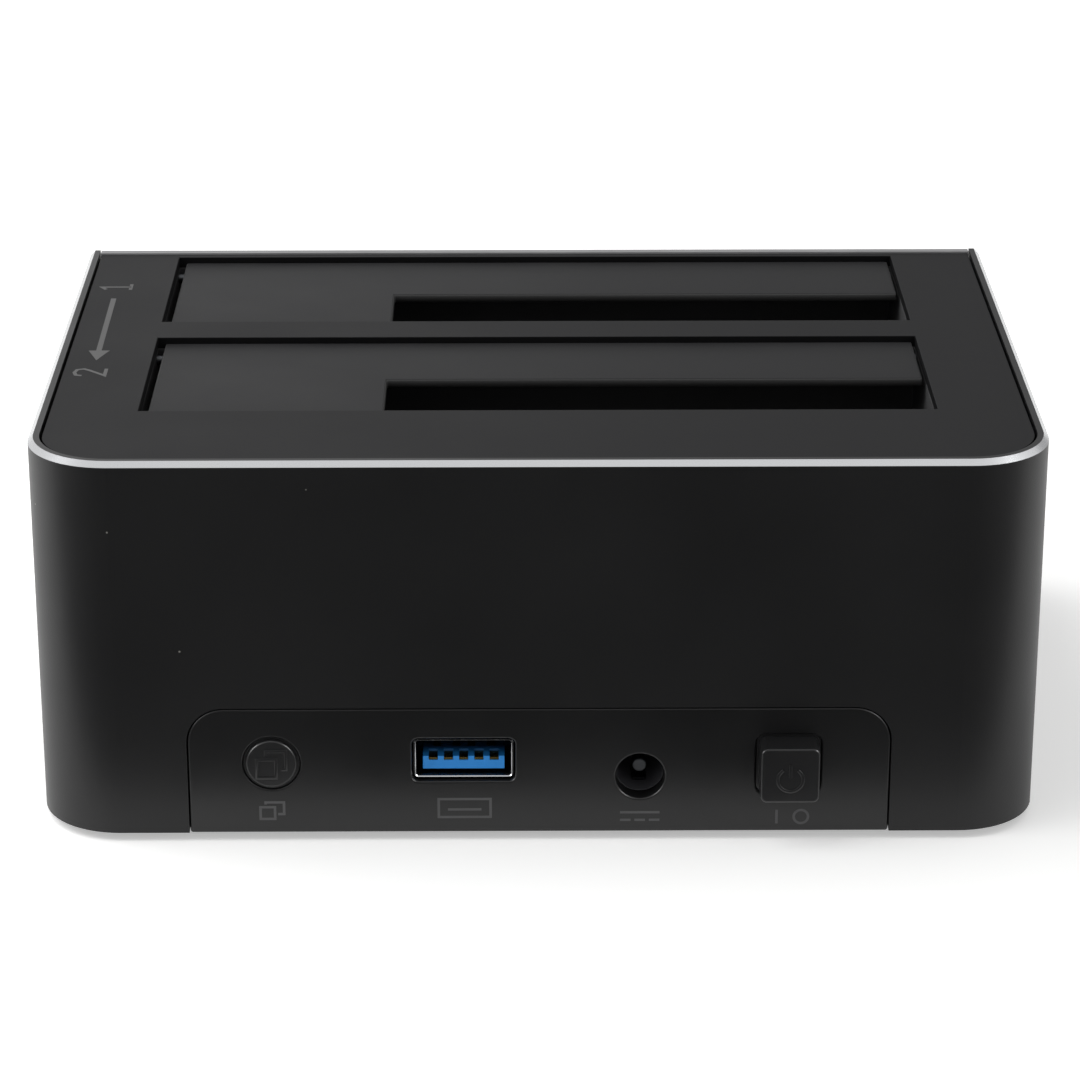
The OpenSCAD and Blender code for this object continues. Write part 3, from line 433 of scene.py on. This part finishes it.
def flap_cover(bay):
    """A flap with rounded edges and thin lips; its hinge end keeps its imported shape."""
    node = "flap_" + bay
    sizes = bpy.context.scene.dock_sizes
    bm = bmesh.new()
    bm.from_mesh(NODES[node].data)
    bmesh.ops.remove_doubles(bm, verts=bm.verts, dist=WELD)
    bmesh.ops.dissolve_limit(bm, angle_limit=FLAT, verts=bm.verts, edges=bm.edges)
    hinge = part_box(node)[1].y - sizes.hinge_zone
    # A hair above the underside, clear of the hinge
    under = min(vert.co.z for vert in bm.verts if vert.co.y < hinge) + 0.01 * MM

    def sharp(below):
        """The sharp edges clear of the hinge: the lips' lower ones, or all that aren't on the underside."""
        for edge in bm.edges:
            one, two = (vert.co for vert in edge.verts)
            low = max(one.z, two.z) < under
            lip = abs(one.x - two.x) > abs(one.y - two.y)
            free = (one.y + two.y) / 2 < hinge and edge.calc_face_angle(0) > SHARP
            if free and low == below and (lip or not below):
                yield edge

    def bevel(edges, width, steps):
        """Cuts or rounds edges, and gives the faces that come of it."""
        return bmesh.ops.bevel(bm, geom=edges, offset=width, offset_type="OFFSET", segments=steps,
                               profile=0.5, affect="EDGES", clamp_overlap=False, loop_slide=False)["faces"]

    # The lips are cut thin from below, on a long slope
    cut = bevel(list(sharp(True)), sizes.lip_cut, steps=1)
    for vert in {vert for face in cut for vert in face.verts if vert.co.z < under}:
        vert.co.y += sizes.lip_slope - sizes.lip_cut
    bevel(list(sharp(False)), sizes.flap_edge, steps=4)
    cover = piece("flap_cover_" + bay, bm, node, "flap_plastic")
    even_normals(cover)
    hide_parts(node)


def hinge_coil(bay):
    """The torsion spring of a flap, whose left leg bears on the well and right leg on the flap, as one wire
    copied from the imported spring with smooth shading; it keeps its packed shape and doesn't turn with the
    flap."""
    node = "flap_spring_" + bay
    bm = bmesh.new()
    bm.from_mesh(NODES[node].data)
    coil = piece("flap_coil_" + bay, bm, None, "pin_steel")
    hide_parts(node)
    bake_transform(coil)


def loop_sides(line, width, closed):
    """The left and right edges of a line of 2D points drawn with a pen of that width, mitred at its bends."""
    count = len(line)
    left, right = [], []
    for i, point in enumerate(line):
        before = point - line[i - 1] if closed or i else line[1] - line[0]
        after = line[(i + 1) % count] - point if closed or i < count - 1 else point - line[i - 1]
        across = [Vector((-d.y, d.x)).normalized() for d in (before, after)]
        mitre = across[0] + across[1]
        # The least divisor keeps the mitre of a very sharp bend short
        mitre = mitre * (width / max(mitre.dot(mitre), 0.5))
        left.append(point + mitre)
        right.append(point - mitre)
    return left, right


def ribbon(bm, line, width, thick, closed, lay, crown=0.0):
    """Draws a line as a solid ribbon. lay turns a 2D point and a height into a point of the part; the crown
    is the share of the width by which the upper edges are drawn in, over almost half the thickness."""
    line = [Vector(point) for point in line]
    levels = [(1, 0), (1, thick * 0.55), (1 - crown, thick)] if crown else [(1, 0), (1, thick)]
    rings = []
    for share, height in levels:
        sides = loop_sides(line, width * share, closed)
        rings.append([[bm.verts.new(lay(point, height)) for point in side] for side in sides])
    count = len(line)
    for i in range(count if closed else count - 1):
        j = (i + 1) % count
        for low, high in zip(rings, rings[1:]):
            bm.faces.new((low[0][i], low[0][j], high[0][j], high[0][i]))
            bm.faces.new((low[1][j], low[1][i], high[1][i], high[1][j]))
        bm.faces.new((rings[-1][0][i], rings[-1][0][j], rings[-1][1][j], rings[-1][1][i]))
        bm.faces.new((rings[0][1][i], rings[0][1][j], rings[0][0][j], rings[0][0][i]))
    if not closed:
        for i in (0, count - 1):
            for low, high in zip(rings, rings[1:]):
                bm.faces.new((low[0][i], high[0][i], high[1][i], low[1][i]))


def slab(bm, outline, thick, lay):
    """A flat solid with that closed outline."""
    low, high = ([bm.verts.new(lay(p, height)) for p in outline] for height in (0, thick))
    bm.faces.new(high)
    bm.faces.new(low[::-1])
    for i in range(len(outline)):
        bm.faces.new((low[i - 1], low[i], high[i], high[i - 1]))


def hoop(bm, rings, lay):
    """A solid ring through outlines of as many points, each at its own height, and back to the first."""
    loops = [[bm.verts.new(lay(p, height)) for p in outline] for outline, height in rings]
    for i, near in enumerate(loops):
        far = loops[i - 1]
        for j in range(len(near)):
            bm.faces.new((near[j - 1], near[j], far[j], far[j - 1]))


def rounded_box(x, y, wide, high, radius):
    """The outline of a rectangle with rounded corners, about its middle."""
    line = []
    for i, (s, t) in enumerate(((1, 1), (-1, 1), (-1, -1), (1, -1))):
        line += arc(x + s * (wide / 2 - radius), y + t * (high / 2 - radius), radius, 90 * i, 90 * i + 90,
                    steps=10)
    return line


def arc(x, y, radius, start, end, steps):
    """Points of a circular arc, in degrees."""
    turns = [math.radians(start + (end - start) * i / steps) for i in range(steps + 1)]
    return [(x + radius * math.cos(t), y + radius * math.sin(t)) for t in turns]


def box_line(x0, y0, x1, y1):
    """The four corners of a rectangle, for a closed line."""
    return [(x0, y0), (x1, y0), (x1, y1), (x0, y1)]


def on_plate(point, height):
    """A point of the top plate, in millimetres, raised by a height."""
    return (point[0] * MM, point[1] * MM, PLATE_Z + height)


def on_rear(point, height):
    """A point of the rear panel, in millimetres across and up, raised towards the viewer."""
    return (point[0] * MM, NEAR_Y - height, point[1] * MM)


class DOCK_OT_sleeve(bpy.types.Operator):
    """Dresses the metal sleeve with its bright rim, and the front panel"""

    bl_idname = "dock.sleeve"
    bl_label = "Sleeve and Front Panel"

    def execute(self, context):
        dress("housing_sleeve", "anodised_sleeve")
        dress("front_panel", "panel_edge", context.scene.dock_sizes.metal_edge)
        return {"FINISHED"}


class DOCK_OT_top(bpy.types.Operator):
    """Dresses the top plate, the wells and what they hold, and makes the flaps' covers and hinge coils"""

    bl_idname = "dock.top"
    bl_label = "Top Plate and Flaps"

    def execute(self, context):
        sizes = context.scene.dock_sizes
        dress("top_plate", "deck_plastic", sizes.plate_edge, steps=3)
        for bay in "ab":
            flap_cover(bay)
            dress("bay_well_" + bay, "well_plastic", sizes.small_edge)
            dress("hinge_pin_" + bay, "pin_steel", sizes.metal_edge)
            hinge_coil(bay)
            dress("sata_housing_" + bay, "connector_plastic", sizes.small_edge)
            dress("sata_contacts_" + bay, "contact_gold", sizes.metal_edge)
        return {"FINISHED"}


def spring_fingers(sizes):
    """Two leaf fingers bent down from the USB shell's upper wall to grip a plug."""
    low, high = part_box("usb_shell")
    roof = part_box("usb_tongue")[1].z
    # Distances from the socket's mouth and below its roof, in millimetres
    bends = ((7.5, 0.02), (6.2, 0.12), (3.6, 0.5), (3.0, 0.52), (2.3, 0.3))
    line = [(low.y / MM + inward, roof / MM - drop) for inward, drop in bends]
    bm = bmesh.new()
    for middle in (-sizes.finger_apart / 2, sizes.finger_apart / 2):
        left = (low.x + high.x) / 2 + middle - sizes.finger_wide / 2
        ribbon(bm, line, sizes.finger_thick / MM, sizes.finger_wide, False,
               lambda p, h: (left + h, p[0] * MM, p[1] * MM))
    piece("usb_fingers", bm, "dock", "socket_steel")


def rolled_mouth(sizes):
    """The mouth of the USB shell, which leans outwards to a crest, less so along the top."""
    low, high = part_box("usb_shell")
    wall, turn, flare = sizes.shell_wall, sizes.shell_round, sizes.shell_flare
    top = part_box("usb_tongue")[1].z + wall
    outer, crest, inner = (
        rounded_box((low.x + high.x) / 2, (low.z + top) / 2, high.x - low.x - 2 * inset,
                    top - low.z - 2 * inset, turn - inset) for inset in (0, wall * 2 / 3, wall))

    def lean(point, height):
        """A point of the mouth, moved forward by its height, which fades out towards the top."""
        share = min(max((top - point[1]) / turn - 0.5, 0), 1) if height > 0 else 1
        return (point[0], low.y - height * share, point[1])

    bm = bmesh.new()
    hoop(bm, [(outer, -wall / 3), (outer, 0), (crest, flare), (inner, flare / 3), (inner, -wall / 3)], lean)
    piece("usb_lip", bm, "dock", "socket_steel")


class DOCK_OT_rear(bpy.types.Operator):
    """Dresses the rear panel and its sockets, and adds the USB socket's spring fingers and rolled mouth"""

    bl_idname = "dock.rear"
    bl_label = "Rear Panel and Sockets"

    def execute(self, context):
        sizes = context.scene.dock_sizes
        dress("rear_panel", "panel_plastic", sizes.panel_edge, steps=3)
        dress("usb_shell", "socket_shell", sizes.metal_edge / 2)
        dress("usb_tongue", "usb_blue", sizes.metal_edge)
        dress("usb_contacts", "contact_inner")
        dress("dc_jack_body", "inlet_nylon")
        dress("dc_jack_pin", "pin_steel", sizes.small_edge * 2, steps=4)
        dress("dc_jack_spring", "pin_steel", sizes.metal_edge)
        spring_fingers(sizes)
        rolled_mouth(sizes)
        return {"FINISHED"}


def cap_symbol(name, lines, sizes):
    """Moulded lines on a cap's face, given in millimetres from its middle."""
    low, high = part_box(name + "_button")
    x, z = (low.x + high.x) / 2, (low.z + high.z) / 2
    bm = bmesh.new()
    for line, closed in lines:
        ribbon(bm, line, sizes.relief_line / MM, sizes.relief_lift, closed,
               lambda p, h: (x + p[0] * MM, low.y - h, z + p[1] * MM), crown=0.4)
    piece(name + "_symbol", bm, name + "_button", "button_plastic")


def cap_skirt(name, sizes):
    """A ring behind a cap's face that keeps dust out of the gap round the cap."""
    low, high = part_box(name + "_button")
    side = high.z - low.z
    turn = side / 2 if name == "clone" else sizes.cap_round
    # It starts inside the cap and ends just short of the panel
    inner, outer = (rounded_box((low.x + high.x) / 2, (low.z + high.z) / 2, side + 2 * out, side + 2 * out,
                                turn + out) for out in (-sizes.cap_gap / 2, sizes.cap_gap * 0.85))
    bm = bmesh.new()
    hoop(bm, [(inner, sizes.skirt_in), (outer, sizes.skirt_in), (outer, sizes.skirt_end),
              (inner, sizes.skirt_end)], lambda p, h: (p[0], NEAR_Y + h, p[1]))
    piece(name + "_skirt", bm, name + "_button", "button_plastic")


class DOCK_OT_caps(bpy.types.Operator):
    """Dresses the two button caps and their switches, and adds the caps' moulded symbols and skirts"""

    bl_idname = "dock.caps"
    bl_label = "Buttons"

    def execute(self, context):
        sizes = context.scene.dock_sizes
        for name in ("power", "clone"):
            dress(name + "_button", "button_plastic", sizes.cap_edge, steps=4)
            dress(name + "_switch_body", "connector_plastic", sizes.small_edge)
            dress(name + "_switch_plunger", "plunger_plastic", sizes.small_edge)
        # A broken ring with a stroke, and two sheets one behind the other
        symbols = {
            "power": [(arc(0, -0.5, radius=1.65, start=125, end=415, steps=40), False),
                      ([(0, 1.6), (0, -0.2)], False)],
            "clone": [(box_line(-1.9, -1.9, 0.6, 0.7), True),
                      ([(-0.7, 1.35), (-0.7, 1.9), (1.9, 1.9), (1.9, -0.7), (1.3, -0.7)], False)],
        }
        for name, lines in symbols.items():
            cap_symbol(name, lines, sizes)
            cap_skirt(name, sizes)
        return {"FINISHED"}


class DOCK_OT_inside(bpy.types.Operator):
    """Dresses the circuit board and everything that stands on it"""

    bl_idname = "dock.inside"
    bl_label = "Circuit Board"

    def execute(self, context):
        small = context.scene.dock_sizes.small_edge
        dress("main_board", "board_laminate")
        for node in ("bridge_chip", "flash_chip", "regulator_chips"):
            dress(node, "chip_epoxy", small)
        dress("power_inductors", "ferrite", small * 3, steps=3)
        dress("electrolytic_capacitors", "can_aluminium", small * 3, steps=3)
        dress("clock_crystal", "socket_steel", small)
        dress("status_leds", "led_resin", small)
        dress("light_pipe", "pipe_clear", small / 4)
        return {"FINISHED"}


class DOCK_OT_base(bpy.types.Operator):
    """Dresses the base tray, the feet and all the screws"""

    bl_idname = "dock.base"
    bl_label = "Base, Feet and Screws"

    def execute(self, context):
        sizes = context.scene.dock_sizes
        dress("base_tray", "well_plastic")
        dress("rubber_feet", "foot_rubber", sizes.foot_edge, steps=4)
        for group in ("sleeve", "post", "well", "board", "panel"):
            dress(group + "_screws", "screw_steel", sizes.metal_edge)
        return {"FINISHED"}


class DOCK_OT_print(bpy.types.Operator):
    """Adds the printed marks: bay numbers with an arrow on the top, pictograms on the rear panel"""

    bl_idname = "dock.print"
    bl_label = "Printed Marks"

    def execute(self, context):
        sizes = context.scene.dock_sizes
        # The numbers read from the side, as 1 for the far bay and 2 for the near one
        numbers = [
            [(-61.9, 28.6), (-62.6, 29.7), (-58.4, 29.7)],
            [(-58.4, 28.4), (-58.4, 31.0)],
            [(-61.5, -9.0), (-62.3, -8.8), (-62.6, -7.7), (-62.3, -6.6), (-61.4, -6.3), (-60.6, -6.9),
             (-58.4, -9.0), (-58.4, -6.2)],
        ]
        bm = bmesh.new()
        for line in numbers:
            ribbon(bm, line, sizes.number_line / MM, sizes.print_lift, False, on_plate)
        # The arrow points from the far bay to the near one
        half = sizes.arrow_line / MM / 2
        foot, neck, tip = 24.4, 1.4, -2.7
        slab(bm, [(-60.4 - half, foot), (-60.2 - half, neck), (-61.6, neck), (-60.15, tip), (-58.7, neck),
                  (-60.2 + half, neck), (-60.4 + half, foot)], sizes.print_lift, on_plate)
        piece("top_print", bm, "dock", "deck_plastic", "ink_top")
        # Two sheets, a socket, the direct current sign, and a stroke and a ring for on and off
        marks = [
            (box_line(-36.6, 3.2, -34.7, 4.9), True),
            ([(-35.9, 5.3), (-35.9, 5.6), (-33.5, 5.6), (-33.5, 3.9), (-34.3, 3.9)], False),
            (box_line(-13.2, 3.4, -6.4, 6.0), True),
            ([(-12.0, 4.5), (-7.6, 4.5)], False),
            ([(10.6, 4.0), (15.8, 4.0)], False),
            ([(10.6, 2.9), (12.0, 2.9)], False),
            ([(12.5, 2.9), (13.9, 2.9)], False),
            ([(14.4, 2.9), (15.8, 2.9)], False),
            ([(31.2, 2.3), (31.2, 4.3)], False),
            (arc(34.4, 3.3, radius=0.95, start=0, end=360 - 360 / 28, steps=27), True),
        ]
        bm = bmesh.new()
        for line, closed in marks:
            ribbon(bm, line, sizes.print_line / MM, sizes.print_lift, closed, on_rear)
        piece("rear_print", bm, "dock", "panel_plastic", "ink_rear")
        return {"FINISHED"}


def seen_rays(tree):
    """1 for what the camera, a reflection or a clear piece sees, else 0."""
    path = add(tree, "ShaderNodeLightPath").outputs
    first = add(tree, "ShaderNodeMath", {0: path["Is Camera Ray"], 1: path["Is Glossy Ray"]},
                operation="MAXIMUM")
    return add(tree, "ShaderNodeMath", {0: first.outputs[0], 1: path["Is Transmission Ray"]},
               operation="MAXIMUM").outputs[0]


def paper_floor(scene):
    """A round of white paper, 6 m across: matt, with soft shadows, and lifted to white for the eye."""
    bm = bmesh.new()
    bmesh.ops.create_circle(bm, cap_ends=True, radius=3, segments=64)
    mesh = bpy.data.meshes.new("floor")
    bm.to_mesh(mesh)
    bm.free()
    floor = bpy.data.objects.new("floor", mesh)
    scene.collection.objects.link(floor)
    material, tree = blank("paper_white")
    paper = add(tree, "ShaderNodeBsdfDiffuse", {"Color": scene.dock_colours.floor})
    # The paper is lit less from 0.4 m to 1.5 m away, so it is lifted more, up to the surroundings' white
    place = add(tree, "ShaderNodeTexCoord").outputs["Object"]
    away = add(tree, "ShaderNodeVectorMath", {0: place}, operation="LENGTH").outputs["Value"]
    level = add(tree, "ShaderNodeMapRange", {"Value": away, "From Min": 0.4, "From Max": 1.5, "To Min": 0.4,
                                             "To Max": 0.62})
    lift = add(tree, "ShaderNodeMath", {0: seen_rays(tree), 1: level.outputs[0]}, operation="MULTIPLY")
    glow = add(tree, "ShaderNodeEmission", {"Strength": lift.outputs[0]})
    both = add(tree, "ShaderNodeAddShader", {0: paper.outputs[0], 1: glow.outputs[0]})
    add(tree, "ShaderNodeOutputMaterial", {"Surface": both.outputs[0]})
    mesh.materials.append(material)


def surroundings(scene):
    """A white studio, which lights the dock half as strongly as it looks."""
    world = bpy.data.worlds.new("studio")
    scene.world = world
    world.use_nodes = True
    tree = world.node_tree
    tree.nodes.clear()
    level = add(tree, "ShaderNodeMapRange", {"Value": seen_rays(tree), "To Min": 0.5, "To Max": 1.0})
    white = add(tree, "ShaderNodeBackground", {"Color": (1, 1, 1, 1), "Strength": level.outputs[0]})
    add(tree, "ShaderNodeOutputWorld", {"Surface": white.outputs[0]})


def card(name, left, right, tint):
    """A plain grey card between two edges of as many points, which is seen only in reflections."""
    bm = bmesh.new()
    rows = [[bm.verts.new(point) for point in edge] for edge in (left, right)]
    for i in range(len(left) - 1):
        bm.faces.new((rows[0][i], rows[0][i + 1], rows[1][i + 1], rows[1][i]))
    mesh = bpy.data.meshes.new(name)
    bm.to_mesh(mesh)
    bm.free()
    material, tree = blank("paperboard_" + name)
    glow = add(tree, "ShaderNodeEmission", {"Color": tint, "Strength": 1.0})
    add(tree, "ShaderNodeOutputMaterial", {"Surface": glow.outputs[0]})
    mesh.materials.append(material)
    obj = bpy.data.objects.new(name, mesh)
    for ray in ("camera", "diffuse", "transmission", "shadow", "volume_scatter"):
        setattr(obj, "visible_" + ray, False)
    bpy.context.scene.collection.objects.link(obj)


def lamp(name, place, target, size, power, unseen):
    """A soft rectangular lamp that faces a point, and that the rays named unseen don't meet."""
    data = bpy.data.lights.new(name, "AREA")
    data.shape = "RECTANGLE"
    data.size, data.size_y = size
    data.energy = power
    obj = bpy.data.objects.new(name, data)
    obj.location = place
    obj.rotation_euler = (Vector(target) - Vector(place)).to_track_quat("-Z", "Y").to_euler()
    setattr(obj, "visible_" + unseen, False)
    bpy.context.scene.collection.objects.link(obj)


def photo_camera(scene):
    """The camera at the photograph's place, about half a metre away and looking down by about 22 degrees."""
    camera = bpy.data.cameras.new("camera")
    camera.sensor_width = 36
    camera.lens = 125.93
    camera.clip_start = 0.01
    down, turn = 21.737, -0.421
    view = bpy.data.objects.new("camera", camera)
    view.location = [part * MM for part in (-3.198, -490.934, 221.103)]
    view.rotation_euler = (math.radians(90 - down), 0, math.radians(turn))
    scene.collection.objects.link(view)
    scene.camera = view


class DOCK_OT_stage(bpy.types.Operator):
    """Adds the white floor, the surroundings, the lamps, the reflected cards and the camera"""

    bl_idname = "dock.stage"
    bl_label = "Stage"

    def execute(self, context):
        scene = context.scene
        scene.view_settings.view_transform = "Standard"
        paper_floor(scene)
        surroundings(scene)
        lamp("overhead", place=(-0.55, 0.05, 0.75), target=(0, 0, 0), size=(1.0, 1.0), power=7.5,
             unseen="glossy")
        # Two side lamps give the glints on rounded edges of the near side and no other light
        for name, place in (("glint_left", (-1.05, -0.30, 0.54)), ("glint_right", (0.97, -0.42, 0.62))):
            lamp(name, place, target=(0, -0.045, 0.012), size=(0.35, 0.5), power=9, unseen="diffuse")
        # The front card keeps the satin near wall and the sockets dark, down to a bright strip at the foot;
        # the back card shades the right half of the top
        sweep = ((0.014, 0.0006), (0.2, 0.001), (0.75, 0.004), (0.9, 0.3), (0.9, 0.9))
        tint = scene.dock_colours
        front = [[(x, NEAR_Y - out, z) for out, z in sweep] for x in (-0.5, 0.42)]
        back = [[(x, 0.4, z) for z in (0.06, 0.7)] for x in (0.0, 0.7)]
        card("front_card", *front, tint.front_card)
        card("back_card", *back, tint.back_card)
        photo_camera(scene)
        return {"FINISHED"}


class DOCK_PT_panel(bpy.types.Panel):
    """Lists the steps, the sizes and the colours"""

    bl_idname = "DOCK_PT_panel"
    bl_label = "Drive Dock"
    bl_space_type = "VIEW_3D"
    bl_region_type = "UI"
    bl_category = "Drive Dock"

    def draw(self, context):
        for step in STEPS:
            self.layout.operator(step.bl_idname)
        for group in (context.scene.dock_sizes, context.scene.dock_colours):
            for key in group.__annotations__:
                self.layout.prop(group, key)


STEPS = (DOCK_OT_sleeve, DOCK_OT_top, DOCK_OT_rear, DOCK_OT_caps, DOCK_OT_inside, DOCK_OT_base, DOCK_OT_print,
         DOCK_OT_stage)
CLASSES = (DockSizes, DockColours) + STEPS + (DOCK_PT_panel,)
FINISH = {}


def register():
    """Registers the classes and adds their settings to the scene."""
    for kind in CLASSES:
        bpy.utils.register_class(kind)
    bpy.types.Scene.dock_sizes = PointerProperty(type=DockSizes)
    bpy.types.Scene.dock_colours = PointerProperty(type=DockColours)


def unregister():
    """Undoes what register did, in reverse."""
    del bpy.types.Scene.dock_colours
    del bpy.types.Scene.dock_sizes
    for kind in reversed(CLASSES):
        bpy.utils.unregister_class(kind)


def main():
    """Dresses the dock step by step."""
    register()
    FINISH.update(finishes())
    for step in STEPS:
        getattr(bpy.ops.dock, step.bl_idname.split(".")[1])()


if __name__ == "__main__":
    main()
